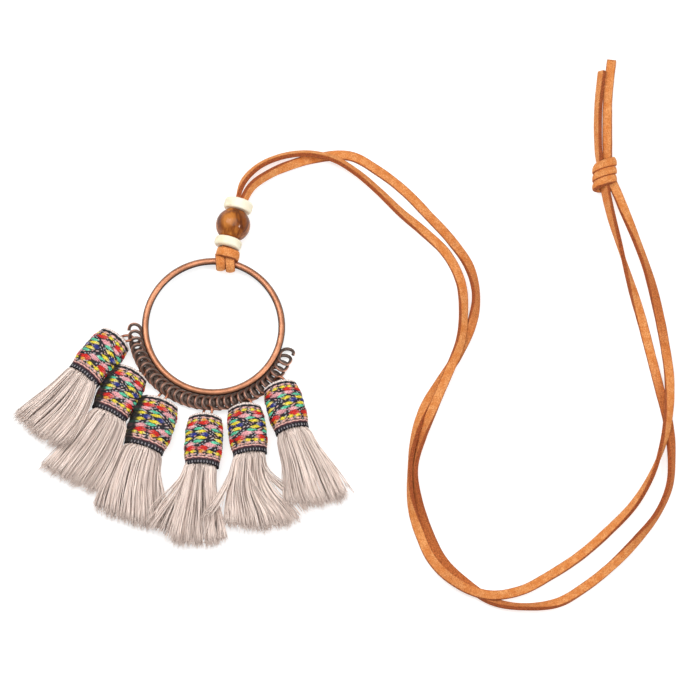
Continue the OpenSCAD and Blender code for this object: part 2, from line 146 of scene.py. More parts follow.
def smooth_rows(rows, step):
    """The rows joined by one smooth curve, with a row every step."""
    rows = np.array(rows, float)
    at = np.concatenate([[0], np.cumsum(np.linalg.norm(np.diff(rows[:, :2], axis=0), axis=1))])
    slope = np.gradient(rows, at, axis=0)
    wanted = np.linspace(0, at[-1], max(8, round(at[-1] / step)))
    span = np.clip(np.searchsorted(at, wanted, side="right") - 1, 0, len(at) - 2)
    length = (at[span + 1] - at[span])[:, None]
    t = ((wanted - at[span])[:, None]) / length
    return eased(rows[span], rows[span + 1], slope[span] * length, slope[span + 1] * length, t)


def lace_outline():
    """The strip's section, with its share of raw side at each point, which is painted darker, partly as
    painted shade.
    """
    points = []
    w, h, r = lace_wide / 2 - lace_corner, lace_thick / 2 - lace_corner, lace_corner
    for turn, (x, y) in enumerate([(w, h), (-w, h), (-w, -h), (w, -h)]):
        for bit in (0, 45, 90):
            a = math.radians(90 * turn + bit)
            points.append((x + r * math.cos(a), y + r * math.sin(a), abs(math.cos(a)) ** 0.7))
        if turn in (0, 2):
            across = -1 if turn == 0 else 1
            points += [(across * share * w, -across * (h + r), 0) for share in (-0.45, 0, 0.45)]
        else:
            points.append((x + math.copysign(r * 0.9, x), 0, 1))
    return np.array(points)


def smooth_piece(name, points, faces):
    """A smoothly shaded piece made of points and faces."""
    mesh = bpy.data.meshes.new(name)
    mesh.from_pydata(points.reshape(-1, 3).tolist(), [], faces)
    mesh.polygons.foreach_set("use_smooth", [True] * len(mesh.polygons))
    piece = bpy.data.objects.new(name, mesh)
    bpy.context.scene.collection.objects.link(piece)
    return piece


def ring_piece(name, rings, loop=False):
    """A skin over rings of points, all with as many points, its ends closed or joined in a loop."""
    count, sides = rings.shape[:2]
    ring = np.arange(count if loop else count - 1)[:, None]
    here, there = ring * sides, (ring + 1) % count * sides
    s = np.arange(sides)[None, :]
    after = (s + 1) % sides
    faces = np.stack([here + s, here + after, there + after, there + s], axis=-1).reshape(-1, 4).tolist()
    if not loop:
        faces.append(list(range(sides))[::-1])
        faces.append(list(range((count - 1) * sides, count * sides)))
    return smooth_piece(name, rings, faces)


def point_mask(piece, name, values):
    """A value at each point of a piece, which its material reads by name."""
    layer = piece.data.attributes.new(name, "FLOAT", "POINT")
    layer.data.foreach_set("value", np.asarray(values, np.float32).ravel())


def lace_strip(name, middles, across, up, wear_seed, crown=0.0):
    """A strip swept along its middle line, its width along across and its thickness along up."""
    section = lace_outline()
    section[:, 1] += crown * (0.5 - (2 * section[:, 0] / lace_wide) ** 2)
    rng = np.random.default_rng(wear_seed)
    along = np.arange(len(middles)) * waver_step
    uneven = sum(
        rng.uniform(0.3, 1) * np.sin(2 * math.pi * along / wave + rng.uniform(0, 6.3))
        for wave in lace_waves
    ) * lace_waver
    wide = (1 + uneven)[:, None, None]
    rings = (
        middles[:, None, :] + section[None, :, 0, None] * wide * across[:, None, :]
        + section[None, :, 1, None] * up[:, None, :]
    )
    piece = ring_piece(name, rings)
    point_mask(piece, "raw_side_and_shade", np.tile(section[:, 2], len(middles)))
    return piece


def unit(ways):
    """The ways made 1 long."""
    return ways / np.linalg.norm(ways, axis=-1, keepdims=True)


def ways_beside(line, upright=(0, 0, 1)):
    """The ways to the right and above at each point of a line, or of many lines."""
    ahead = unit(np.gradient(line, axis=-2))
    right = unit(np.cross(ahead, upright))
    return right, np.cross(right, ahead)


def lace_along(name, rows, wear_seed):
    """A lace that lies along smoothed rows; gives the piece and its middle line."""
    line = smooth_rows(rows, lace_step)
    twist = np.radians(line[:, 3])
    middles = np.column_stack([line[:, 0], line[:, 1], np.maximum(line[:, 2], 0) + half_height(twist)])
    right, above = ways_beside(middles)
    across = np.cos(twist)[:, None] * right + np.sin(twist)[:, None] * above
    up = np.cos(twist)[:, None] * above - np.sin(twist)[:, None] * right
    piece = lace_strip(name, middles, across, up, wear_seed)
    point_mask(piece, "nap_and_painted_shade", np.repeat(line[:, 4].clip(0, 1), len(piece.data.vertices) // len(line)))
    return piece, middles


def node_in(tree, kind, **inputs):
    """A shader node with some of its inputs set."""
    node = tree.nodes.new(kind)
    for socket, value in inputs.items():
        node.inputs[socket.replace("_", " ")].default_value = value
    return node


def srgb(red, green, blue):
    """A colour as a picture shows it, as the light values that a shader takes."""
    def light(v):
        v /= 255
        return v / 12.92 if v <= 0.04045 else ((v + 0.055) / 1.055) ** 2.4
    return (light(red), light(green), light(blue), 1)


def speckle_group():
    """Fine fibres and broader patches, as masks from 0 to 1, on the piece's own place."""
    group = bpy.data.node_groups.new("Fibre speckle", "ShaderNodeTree")
    group.interface.new_socket("Fine Scale", in_out="INPUT", socket_type="NodeSocketFloat")
    group.interface.new_socket("Patch Scale", in_out="INPUT", socket_type="NodeSocketFloat")
    group.interface.new_socket("Fine", in_out="OUTPUT", socket_type="NodeSocketFloat")
    group.interface.new_socket("Patch", in_out="OUTPUT", socket_type="NodeSocketFloat")
    start = group.nodes.new("NodeGroupInput")
    end = group.nodes.new("NodeGroupOutput")
    place = group.nodes.new("ShaderNodeTexCoord")
    for socket, detail, low, high in (("Fine", 3, 0.3, 0.7), ("Patch", 2, 0.35, 0.65)):
        noise = node_in(group, "ShaderNodeTexNoise", Detail=detail, Roughness=0.6)
        spread = node_in(group, "ShaderNodeMapRange", From_Min=low, From_Max=high)
        group.links.new(place.outputs["Object"], noise.inputs["Vector"])
        group.links.new(start.outputs[socket + " Scale"], noise.inputs["Scale"])
        group.links.new(noise.outputs["Fac"], spread.inputs["Value"])
        group.links.new(spread.outputs["Result"], end.inputs[socket])
    return group


def mixed(tree, mask, first, second, blend="MIX"):
    """A Mix node between two colours, each a colour or a socket, by a mask or a number."""
    mix = tree.nodes.new("ShaderNodeMix")
    mix.data_type = "RGBA"
    mix.blend_type = blend
    for socket, value in ((mix.inputs[0], mask), (mix.inputs[6], first), (mix.inputs[7], second)):
        if isinstance(value, bpy.types.NodeSocket):
            tree.links.new(value, socket)
        else:
            socket.default_value = value
    return mix.outputs[2]


def bumped(tree, height, depth, shader, strength):
    """A Bump node that gives the shader's normal from a height."""
    bump = node_in(tree, "ShaderNodeBump", Strength=strength, Distance=depth)
    tree.links.new(height, bump.inputs["Height"])
    tree.links.new(bump.outputs["Normal"], shader.inputs["Normal"])


def new_finish(name, **inputs):
    """A material, its node tree and its Principled shader with some of its inputs set."""
    finish = bpy.data.materials.new(name)
    finish.use_nodes = True
    shader = finish.node_tree.nodes["Principled BSDF"]
    for socket, value in inputs.items():
        shader.inputs[socket.replace("_", " ")].default_value = value
    return finish, finish.node_tree, shader


def point_value(tree, name):
    """The node that reads what a piece's points keep under a name."""
    node = tree.nodes.new("ShaderNodeAttribute")
    node.attribute_name = name
    return node


fibre_speckle = speckle_group()


def speckled(tree, fine_scale, patch_scale):
    """The fibre speckle in a material, at its own scales."""
    speckle = tree.nodes.new("ShaderNodeGroup")
    speckle.node_tree = fibre_speckle
    speckle.inputs["Fine Scale"].default_value = fine_scale
    speckle.inputs["Patch Scale"].default_value = patch_scale
    return speckle


def suede_finish():
    """Brushed orange suede, its face darker where a row is marked, partly the nap's own tone and partly
    painted shade, and darker at its raw sides, partly painted shade too.
    """
    finish, tree, shader = new_finish(
        "Orange suede", Roughness=0.92, Specular_IOR_Level=0.2, Sheen_Weight=0.25, Sheen_Roughness=0.5,
        Sheen_Tint=srgb(255, 190, 130),
    )
    speckle = speckled(tree, 2600, 420)
    raw = point_value(tree, "raw_side_and_shade")
    face = mixed(tree, speckle.outputs["Patch"], srgb(228, 145, 76), srgb(250, 184, 118))
    face = mixed(tree, speckle.outputs["Fine"], srgb(192, 104, 48), face)
    # Painted shade: rows marked dark turn the face a darker brown, partly the tone of nap brushed the other
    # way.
    nap_shade = point_value(tree, "nap_and_painted_shade")
    shaded_face = mixed(tree, speckle.outputs["Fine"], srgb(132, 66, 32), srgb(214, 122, 64))
    face = mixed(tree, nap_shade.outputs["Fac"], face, shaded_face)
    # The raw sides' dark brown is partly their own colour and partly painted shade.
    side = mixed(tree, speckle.outputs["Fine"], srgb(108, 50, 25), srgb(188, 98, 52))
    colour = mixed(tree, raw.outputs["Fac"], face, side)
    tree.links.new(colour, shader.inputs["Base Color"])
    bumped(tree, speckle.outputs["Fine"], 0.00012, shader, 0.7)
    return finish


suede = suede_finish()


def finish_piece(piece, finish, node):
    """Gives a piece its material, its body and the CAD node that it replaces."""
    piece.data.materials.append(finish)
    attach(piece, "root")
    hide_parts(node)


beside = (lace_thick + lace_gap) / 2
rows_a = [string_row(along, -beside) for along in (string_start, string_halfway, string_end)] + route_a
rows_b = [string_row(along, beside, -90) for along in (string_start, string_halfway)]
rows_b += [string_row(string_end, 0.0012, -62)] + route_b
neck_lace_a, middle_a = lace_along("neck_lace_a", rows_a, 1)
neck_lace_b, middle_b = lace_along("neck_lace_b", rows_b, 2)
tail_left, middle_left = lace_along("lace_tail_left", route_tail_left, 3)
tail_right, middle_right = lace_along("lace_tail_right", route_tail_right, 4)

# Knot: both laces tied together in an overhand knot, three wraps of suede drawn tight over a core.
# The wraps rise to the right, each one lapping the one above it.
knot_middle = np.array([0.1367, 0.0552, 0.0028])
knot_wide = 0.0082
knot_high = 0.0056
knot_rise = math.tan(math.radians(13))
knot_lap = math.radians(14)
wrap_crown = 0.0004


def knot_wrap(name, turns, start_y, step, seed):
    """A lace wound round the core, its flat side outwards."""
    phase = np.linspace(0, 2 * math.pi * turns, round(40 * turns)) - 0.6
    rx = (knot_wide - lace_thick) / 2
    rz = (knot_high - lace_thick) / 2
    x = rx * np.cos(phase)
    z = rz * np.sin(phase)
    y = start_y + step * phase / (2 * math.pi) + x * knot_rise
    middles = np.column_stack([x, y, z]) + knot_middle
    ahead = unit(np.gradient(middles, axis=0))
    out = np.column_stack([np.cos(phase) / rx, 0 * phase, np.sin(phase) / rz])
    out = unit(out - ahead * np.sum(out * ahead, axis=1)[:, None])
    wide_way = np.cross(ahead, out)
    wide_way *= np.sign(wide_way[:, 1])[:, None]
    out = out * math.cos(knot_lap) + wide_way * math.sin(knot_lap)
    return lace_strip(name, middles, np.cross(out, ahead), out, seed, wrap_crown)


lace_knot = knot_wrap("knot_wraps", 3.0, 0.0044, -0.003, 5)
for vertex in lace_knot.data.vertices:
    vertex.co.z = max(vertex.co.z, 0.0001)
finish_piece(lace_knot, suede, "lace_knot")


def declare_lace(piece, node):
    finish_piece(piece, suede, node)


declare_lace(neck_lace_a, "lace_a")
declare_lace(neck_lace_b, "lace_b")
declare_lace(tail_left, "tail_left")
declare_lace(tail_right, "tail_right")

# Hoop: a round copper-plated wire, its ends butted under the hitch, antiqued dark and rubbed bright on top,
# with a painted highlight on top and painted shade down its sides.
# It lies on the lace that passes under it.
hoop_wire = 0.0024
hoop_height = 0.0032


def smooth_step(low, high, value):
    """0 below low, 1 above high, smooth between."""
    t = np.clip((value - low) / (high - low), 0, 1)
    return t * t * (3 - 2 * t)


def antique_copper(name, bright, dark):
    """Plated wire whose dark patina was rubbed off where its points' mask says; that mask is partly a
    painted highlight where the wire faces the light and painted shade where it faces away.
    """
    finish, tree, shader = new_finish(name, Metallic=0.7, Roughness=0.42)
    mask = point_value(tree, "rubbed_and_lit")
    speckle = speckled(tree, 1500, 260)
    uneven = node_in(tree, "ShaderNodeMapRange", To_Min=0.72, To_Max=1)
    tree.links.new(speckle.outputs["Patch"], uneven.inputs["Value"])
    rubbed_and_lit = tree.nodes.new("ShaderNodeMath")
    rubbed_and_lit.operation = "MULTIPLY"
    tree.links.new(mask.outputs["Fac"], rubbed_and_lit.inputs[0])
    tree.links.new(uneven.outputs["Result"], rubbed_and_lit.inputs[1])
    colour = mixed(tree, rubbed_and_lit.outputs[0], dark, bright)
    grime = mixed(tree, speckle.outputs["Fine"], (0.6, 0.56, 0.54, 1), (1, 1, 1, 1))
    tree.links.new(mixed(tree, 0.4, colour, grime, "MULTIPLY"), shader.inputs["Base Color"])
    bumped(tree, speckle.outputs["Fine"], 0.00002, shader, 0.4)
    return finish


def rubbed_and_lit_on_top(piece, low, high):
    """The patina is gone where the wire faces up, partly wear and partly a painted highlight, with painted
    shade on the sides and underneath.
    """
    up = np.array([point.normal.z for point in piece.data.vertices])
    point_mask(piece, "rubbed_and_lit", smooth_step(low, high, up))


# The bright colour is partly a painted highlight and the dark one partly painted shade.
hoop_copper = antique_copper("Rubbed and lit copper", srgb(208, 142, 106), srgb(44, 20, 12))
bpy.ops.object.select_all(action="DESELECT")
bpy.ops.mesh.primitive_torus_add(
    major_radius=hoop_middle_r, minor_radius=hoop_wire / 2, major_segments=240, minor_segments=32,
    location=(0, 0, hoop_height),
)
hoop = bpy.context.object
hoop.name = "copper_hoop"
bpy.ops.object.transform_apply(location=True, rotation=True, scale=True)
bpy.ops.object.shade_smooth()
rubbed_and_lit_on_top(hoop, 0.5, 0.82)
finish_piece(hoop, hoop_copper, "hoop")

# Spring coil: wire wound over a mandrel, bent along the lower rim and soldered to the hoop. Its turns lean
# back and lap like tiles, with their lower halves pressed flat, dark on top and worn bright at their flanks;
# the bright flanks are partly a painted highlight, and the dark lower halves and undersides are painted
# shade.
coil_d = 0.0056
coil_wire = 0.0012
coil_turns = 30
coil_sweep = math.radians(158)
coil_start = math.radians(182.2)
solder = 0.0004
coil_r = (coil_d - coil_wire) / 2
coil_rise = 0.00132
coil_lap = 0.00245
coil_height = 0.0026
coil_reach = hoop_wire / 2 + coil_wire / 2 - solder
coil_middle_r = hoop_middle_r + math.sqrt(coil_reach**2 - (hoop_height - coil_height) ** 2) + coil_r
coil_pitch = coil_sweep / coil_turns
coil_steps = 48
coil_sides = 12


def coil_line(turn):
    """The coil's middle line at a number of turns from its start."""
    around = 2 * math.pi * turn
    along = coil_start + coil_pitch * turn
    lead = -coil_lap * np.sign(np.sin(around)) * np.abs(np.sin(around)) ** 0.8
    r = coil_middle_r + coil_r * np.cos(around)
    return np.column_stack([
        r * np.cos(along) - lead * np.sin(along), r * np.sin(along) + lead * np.cos(along),
        coil_height + coil_rise * np.sin(around),
    ])


def round_wire(name, line, radius, sides, widened=0):
    """Round wire along a line; gives the piece and the outward way at each of its points."""
    right, above = ways_beside(line)
    a = np.arange(sides) * 2 * math.pi / sides
    wide = np.cos(a)[None, :, None] * right[:, None, :]
    out = wide + np.sin(a)[None, :, None] * above[:, None, :]
    return ring_piece(name, line[:, None, :] + radius * (out + widened * wide)), out


coil_copper = antique_copper("Dark coil copper", srgb(250, 182, 154), srgb(106, 90, 82))
coil_turn = np.linspace(0, coil_turns, coil_turns * coil_steps + 1)
nested = smooth_step(1.6, 2.8, coil_turn) * (1 - smooth_step(coil_turns - 4.4, coil_turns - 3, coil_turn))
pressed = (0.85 * nested * smooth_step(0.15, 0.6, -np.sin(2 * math.pi * coil_turn)))[:, None, None]
coil, wire_out = round_wire("spring_coil", coil_line(coil_turn), coil_wire / 2, coil_sides, pressed)
coil_along = coil_start + coil_pitch * coil_turn
from_middle = np.column_stack([np.cos(coil_along), np.sin(coil_along), 0 * coil_along])[:, None, :]
to_start = np.column_stack([np.sin(coil_along), -np.cos(coil_along), 0 * coil_along])[:, None, :]
# Painted light: the outer and start-side flanks of each upper half are painted bright as a highlight, partly
# rubbed copper; the lower halves and undersides stay dark as painted shade.
outer_side = smooth_step(0.4, 0.85, np.sum(wire_out * from_middle, axis=2))
start_side = smooth_step(0.2, 0.6, np.sum(wire_out * to_start, axis=2))
upper_half = smooth_step(-0.5, 0.1, np.sin(2 * math.pi * coil_turn))[:, None]
wear_and_painted_light = np.maximum(outer_side, start_side) * smooth_step(-0.7, 0, wire_out[..., 2]) * upper_half
point_mask(coil, "rubbed_and_lit", wear_and_painted_light)
finish_piece(coil, coil_copper, "hoop")

# Jump rings: small rings of copper wire, each opened, hooked through one turn of the coil and through the
# tassel's yarn, and closed again, with the cut just showing. They lean, so the turns beside them stay clear.
jump_d = 0.0054
jump_wire = 0.00095
jump_tilt = math.radians(48)
jump_cut = math.radians(62)
jump_gap = math.radians(2.2)
jump_r = (jump_d - jump_wire) / 2
jump_out = coil_middle_r + coil_r - 0.001 + jump_r

# Each row: turn of the coil, lean, then how far the band's mouth lies beside and beyond the ring's middle,
# as shares of its size.
tassel_hangs = [
    (1, 231, -0.48, 1.24), (6, 243.5, -0.50, 1.07), (10, 252, -0.10, 1.19),
    (16, 266.5, -0.24, 1.17), (21, 277, -0.22, 1.00), (26, 285, -0.08, 1.04),
]

ring_copper = antique_copper("Dark ring copper", srgb(206, 136, 106), srgb(86, 58, 46))


def select_faces(piece, test):
    """Selects the faces whose middles pass a test, in edit mode."""
    bpy.ops.object.mode_set(mode="EDIT")
    bpy.ops.mesh.select_mode(type="FACE")
    bpy.ops.mesh.select_all(action="DESELECT")
    bpy.ops.object.mode_set(mode="OBJECT")
    for face in piece.data.polygons:
        face.select = test(face)
    bpy.ops.object.mode_set(mode="EDIT")


def jump_middle(turn):
    """The middle of the ring that hooks a turn of the coil, and its angle round the hoop."""
    angle = coil_start + coil_pitch * turn
    return Vector((jump_out * math.cos(angle), jump_out * math.sin(angle), coil_height)), angle


for number, (turn, *_) in enumerate(tassel_hangs, 1):
    middle, angle = jump_middle(turn)
    bpy.ops.object.select_all(action="DESELECT")
    bpy.ops.mesh.primitive_torus_add(
        major_radius=jump_r, minor_radius=jump_wire / 2, major_segments=90, minor_segments=16,
        location=middle, rotation=(jump_tilt, 0, angle),
    )
    ring = bpy.context.object
    ring.name = f"tassel_ring_{number}"
    select_faces(ring, lambda face: abs(math.atan2(face.center.y, face.center.x) - jump_cut) < jump_gap)
    bpy.ops.mesh.delete(type="FACE")
    bpy.ops.mesh.select_all(action="SELECT")
    bpy.ops.mesh.fill_holes(sides=0)
    bpy.ops.object.mode_set(mode="OBJECT")
    bpy.ops.object.transform_apply(location=True, rotation=True, scale=True)
    bpy.ops.object.shade_smooth_by_angle(angle=math.radians(50))
    # Painted highlight on the rings' upper sides and painted shade below them, along with their rubbed
    # patina.
    rubbed_and_lit_on_top(ring, 0.1, 1.0)
    finish_piece(ring, ring_copper, f"jump_ring_{number}")

# Tassel bands: woven ribbon in bright wools on navy, with rows of lozenges, glued round the yarn. Its upper
# edge has cream picots and stands out in an arch, its lower edge has navy teeth.
band_lengths = [0.0175, 0.0165, 0.0172, 0.0171, 0.0164, 0.0164]
# How far each band sits nearer to its ring and to its right, and how much wider it is
band_fits = [
    (0.0003, 0.0001, 1.04), (0.0012, -0.0004, 1.1), (0.0001, 0.0002, 1.2),
    (0.0001, 0.0006, 1), (0.001, 0, 1), (0.0009, 0, 1),
]
# Bands with painted shade down the side that lies against the band to their left
side_shaded_bands = (2, 3)
band_wide = 0.013
band_high = 0.0074
band_wall = 0.001
band_square = 2.6
band_arch = 0.0012
band_lip = 0.0007
# Share of the band's length, then the shares of its width and height there
band_sections = np.array([
    (0, 0.87, 0.84), (0.08, 0.93, 0.93), (0.3, 1.02, 1), (0.65, 1.03, 1), (1, 0.92, 0.95),
])
tooth_pitch = 1.12
tooth_long = 0.0003
band_rows = 112
band_columns = 192
lozenge_rise = 0.0003
wools = {
    "cream": srgb(250, 234, 226), "navy": srgb(20, 14, 26), "maroon": srgb(74, 22, 40),
    "pink": srgb(252, 174, 180), "peach": srgb(250, 190, 176), "yellow": srgb(254, 230, 54),
    "orange": srgb(244, 168, 60), "red": srgb(230, 30, 14), "mint": srgb(98, 222, 176),
    "blue": srgb(30, 44, 140), "grey": srgb(206, 202, 208),
}
# The pattern, in millimetres from the middle of its repeat and of the band, as it was counted out for
# weaving: wool, place round, place along, half width, half length. Its rows are mirrored above and below.
pattern_repeat = 11.2
pattern_middle = 8.3
pattern_long = 18.4
pattern_lozenges = [
    ("pink", 0, 3.3, 2.15, 0.92), ("pink", -6.9, 3.3, 1.8, 0.85), ("mint", -4.3, 2.3, 1.75, 0.55),
    ("mint", 1.6, 2.3, 1.75, 0.55), ("red", -2.6, 4.7, 2.0, 1.0), ("red", 4.5, 4.7, 2.0, 1.0),
    ("yellow", -3.45, 1.15, 1.85, 0.62), ("yellow", 3.05, 1.15, 1.85, 0.62), ("blue", -2.0, 0, 1.2, 0.8),
    ("blue", 5.1, 0, 1.2, 0.8), ("yellow", 0, 5.75, 1.15, 0.6), ("orange", -2.8, 5.75, 1.2, 0.6),
    ("yellow", 2.8, 5.75, 1.15, 0.6), ("yellow", 5.3, 5.75, 1.1, 0.56), ("peach", 0, 6.7, 1.25, 0.42),
    ("peach", -2.8, 6.7, 1.25, 0.42), ("peach", 2.8, 6.7, 1.25, 0.42), ("peach", 5.3, 6.7, 1.1, 0.4),
]


def band_pattern(around, along, seed):
    """Colour and rise of the cloth, at millimetres round it and along it from its upper edge."""
    rng = np.random.default_rng(seed)

    def tone(wool):
        return np.array(wools[wool][:3])

    shape = np.broadcast_shapes(around.shape, along.shape)
    around, along = np.broadcast_to(around, shape), np.broadcast_to(along, shape)
    from_middle = along - pattern_middle
    y = np.where(from_middle < 0, from_middle / 0.93, from_middle / 1.06)
    colour = np.ones(shape + (3,)) * tone("navy")
    rise = 0.12 * np.abs(np.sin(math.pi * along / 0.5))
    slant = np.where(y < 0, around, -around)
    twill = np.sin(2 * math.pi * (y - 0.55 * slant) / 1.05)
    wander = 2.1 * np.sin(1.3 * around) + 1.7 * np.sin(1.9 * y)
    floats = np.sin(2 * math.pi * (slant + 0.35 * y) / 1.5 + wander)
    specks = (smooth_step(0.25, 0.8, twill) * smooth_step(-0.1, 0.7, floats))[..., None]
    tint = smooth_step(0.2, 0.9, np.sin(0.9 * around + 2.3 * y))[..., None]
    colour = colour * (1 - specks) + specks * (tone("grey") * (1 - tint) + tone("peach") * tint)
    rise = rise + 0.3 * specks[..., 0]
    for wool, x0, y0, half_wide, half_long in pattern_lozenges:
        for way in (-1, 1):
            lean = rng.normal(0.06, 0.06)
            dx = (around - x0 + pattern_repeat / 2) % pattern_repeat - pattern_repeat / 2
            dy = y - way * y0 + lean * dx
            ragged = dx + 0.3 * np.sin(2 * math.pi * dy / 0.63 + 3 * x0)
            inside = 1 - np.abs(ragged / half_wide) ** 1.3 - np.abs(dy / half_long) ** 1.8
            # Painted shade: dark lines between the floated threads, with dark nicks across them.
            between = smooth_step(0.5, 1, np.cos(2 * math.pi * dy / 0.5 + 1.7 * x0))
            nick = smooth_step(0.7, 0.95, np.sin(2 * math.pi * around / 1.3 + 2.6 * np.round(dy / 0.5) + x0))
            wear_and_painted_light = (1 - 0.62 * np.maximum(between, nick))[..., None]
            body = smooth_step(-0.06, 0.1, inside)[..., None]
            # Painted shade and highlight: each lozenge is darker at its edges and brighter over its puffed
            # middle.
            puff_shade = (0.55 + 0.5 * smooth_step(0.0, 0.45, inside))[..., None] * wear_and_painted_light * rng.uniform(0.93, 1.07)
            # One end of each lozenge is paler.
            paler_end = rng.choice([-1, 1]) * dx / half_wide + 0.35 * np.sin(9 * dy)
            pale = smooth_step(0.15, 0.85, paler_end)[..., None] * rng.uniform(0.1, 0.6)
            thread = tone(wool) * (1 - pale) + pale * (0.9, 0.87, 0.86)
            colour = colour * (1 - body) + body * puff_shade * thread
            rise = rise * (1 - body[..., 0]) + np.sqrt(np.clip(inside, 0, 1))
    # The woven edges: start and end along the band, wool, how high it puffs up and the length of one puff
    edges = [
        (0, 0.85, "cream", 0.75, 1.0), (0.85, 1.5, "navy", 0.1, 2.0), (16.05, 16.5, "peach", 0.55, 1.4),
        (16.5, 17.0, "maroon", 0.2, 1.0), (17.0, 20, "navy", 0.35, 2.0),
    ]
    for start, end, wool, puff, beat in edges:
        wave = 0.09 * np.sin(2 * math.pi * around / 2.2 + start)
        edge = along + wave
        here = smooth_step(start - 0.1, start + 0.1, edge) * (1 - smooth_step(end - 0.1, end + 0.1, edge))
        here = here[..., None]
        bead = np.abs(np.sin(math.pi * around / beat + start))
        # Painted shade: each puff is darker towards its ends, following its height.
        band_colour = tone(wool) * (0.55 + 0.5 * bead)[..., None]
        colour = colour * (1 - here) + here * band_colour
        rise = rise * (1 - here[..., 0]) + here[..., 0] * puff * bead
    between_teeth = smooth_step(0.6, 0.95, -np.cos(2 * math.pi * around / tooth_pitch))
    glint = (between_teeth * smooth_step(17.5, 17.9, along))[..., None]
    colour = colour * (1 - 0.75 * glint) + 0.75 * glint * tone("grey")
    return colour, rise


def band_size(share):
    """Width and height of the band at a share of its length, from its table with smooth joins."""
    share = np.asarray(share, float)
    at = np.clip(np.searchsorted(band_sections[:, 0], share, side="right") - 1, 0, len(band_sections) - 2)
    low, high = band_sections[at], band_sections[at + 1]
    t = smooth_step(low[..., 0], high[..., 0], share)
    wide = low[..., 1] + (high[..., 1] - low[..., 1]) * t
    return band_wide * wide, band_high * (low[..., 2] + (high[..., 2] - low[..., 2]) * t)


def oval_places(wide, high, angles):
    """Places on a flattened oval, right and up from its middle, at angles from its top."""
    power = 2 / band_square
    s, c = np.sin(angles), np.cos(angles)
    return wide / 2 * np.sign(s) * np.abs(s) ** power, high / 2 * np.sign(c) * np.abs(c) ** power


def flat_oval(wide, high, count):
    """Points round a flattened oval at even steps, with their outward ways and the length round it."""
    y, z = oval_places(wide, high, np.linspace(0, 2 * math.pi, 2001))
    run = np.concatenate([[0], np.cumsum(np.hypot(np.diff(y), np.diff(z)))])
    even = np.linspace(0, run[-1], count, endpoint=False)
    y, z = np.interp(even, run, y), np.interp(even, run, z)
    out = np.column_stack([-(np.roll(z, -1) - np.roll(z, 1)), np.roll(y, -1) - np.roll(y, 1)])
    return np.column_stack([y, z]), unit(out), run[-1]


def placed(points, number):
    """Points made along a tassel, mouth at x = 0, put where that tassel hangs and lies."""
    turn, lean, side, reach = tassel_hangs[number - 1]
    middle = jump_middle(turn)[0]
    lean = math.radians(lean)
    x = points[..., 0] + reach * jump_d / 2
    y = points[..., 1] + side * jump_d
    return np.stack([
        middle.x + x * math.cos(lean) - y * math.sin(lean),
        middle.y + x * math.sin(lean) + y * math.cos(lean),
        points[..., 2],
    ], axis=-1)


def wool_finish():
    """Woven wool in the colour that each point of the cloth keeps, with fine fibres."""
    finish, tree, shader = new_finish("Woven wool", Roughness=0.62, Specular_IOR_Level=0.35)
    thread = point_value(tree, "thread_colour")
    speckle = speckled(tree, 4200, 900)
    shaded = mixed(tree, speckle.outputs["Fine"], (0.7, 0.68, 0.68, 1), (1, 1, 1, 1))
    colour = mixed(tree, 0.6, thread.outputs["Color"], shaded, "MULTIPLY")
    tree.links.new(colour, shader.inputs["Base Color"])
    bumped(tree, speckle.outputs["Fine"], 0.00006, shader, 0.6)
    return finish


wool = wool_finish()


def woven_band(number, shift):
    """One band: rings of points round the flattened tube, raised where a coloured wool floats on top."""
    long = band_lengths[number - 1]
    nearer, aside, wider = band_fits[number - 1]
    shares = np.linspace(0, 1, band_rows + 1)
    wide, high = band_size(shares)
    round_length = flat_oval(band_wide, band_high, band_columns)[2] * 1000
    around = np.arange(band_columns) * round_length / band_columns
    repeats = round(round_length / pattern_repeat)
    around = around * repeats * pattern_repeat / round_length - shift
    colour, rise = band_pattern(around[None, :], shares[:, None] * pattern_long, 40 + number)
    # Painted shade: the left side darkens where the neighbouring band shades it.
    if number in side_shaded_bands:
        side = -2 * flat_oval(1, 1, band_columns)[0][:, 0]
        colour = colour * (1 - 0.94 * smooth_step(0.66, 0.84, side))[None, :, None]
    teeth = tooth_long * np.cos(2 * math.pi * around / tooth_pitch)
    rings = []
    for i, share in enumerate(shares):
        oval, out, _ = flat_oval(wide[i], high[i], band_columns)
        point = oval + out * (rise[i] * lozenge_rise - 0.00015)[:, None]
        across = 1 - (2 * oval[:, 0] / wide[i]) ** 2
        arch = band_arch * (1 - share) * across * (0.5 + oval[:, 1] / high[i]) + 0.0003 * share * across
        x = long * share - band_lip * (1 - share) - arch - 0.0003 * share * across
        x = x + teeth * smooth_step(0.9, 1, share) - nearer
        rings.append(np.column_stack([x, point[:, 0] * wider + aside, point[:, 1] + high[i] / 2]))
    lining = []
    for i in (band_rows, band_rows // 2, 0):
        oval = flat_oval(wide[i] - 1.6 * band_wall, high[i] - 1.6 * band_wall, band_columns)[0]
        x = rings[i][:, 0] + (0.0002 if i == 0 else 0)
        lining.append(np.column_stack([x, oval[:, 0] * wider + aside, oval[:, 1] + high[i] / 2]))
    rings = placed(np.array(rings + lining), number)
    rings[..., 2] = np.maximum(rings[..., 2], 0.00005)
    piece = ring_piece(f"woven_band_{number}", rings, loop=True)
    dark = np.ones((len(lining), band_columns, 3)) * wools["navy"][:3]
    colours = piece.data.attributes.new("thread_colour", "FLOAT_COLOR", "POINT")
    solid = np.ones((band_rows + 1 + len(lining), band_columns, 4))
    solid[..., :3] = np.concatenate([colour, dark])
    colours.data.foreach_set("color", solid.ravel())
    finish_piece(piece, wool, f"band_{number}")


# How far the pattern's middle lies to the right of each band's middle, in millimetres
band_shifts = [-0.7, 0.15, 4.3, 2.4, -0.3, -2.2]
for number in range(1, 7):
    woven_band(number, band_shifts[number - 1])

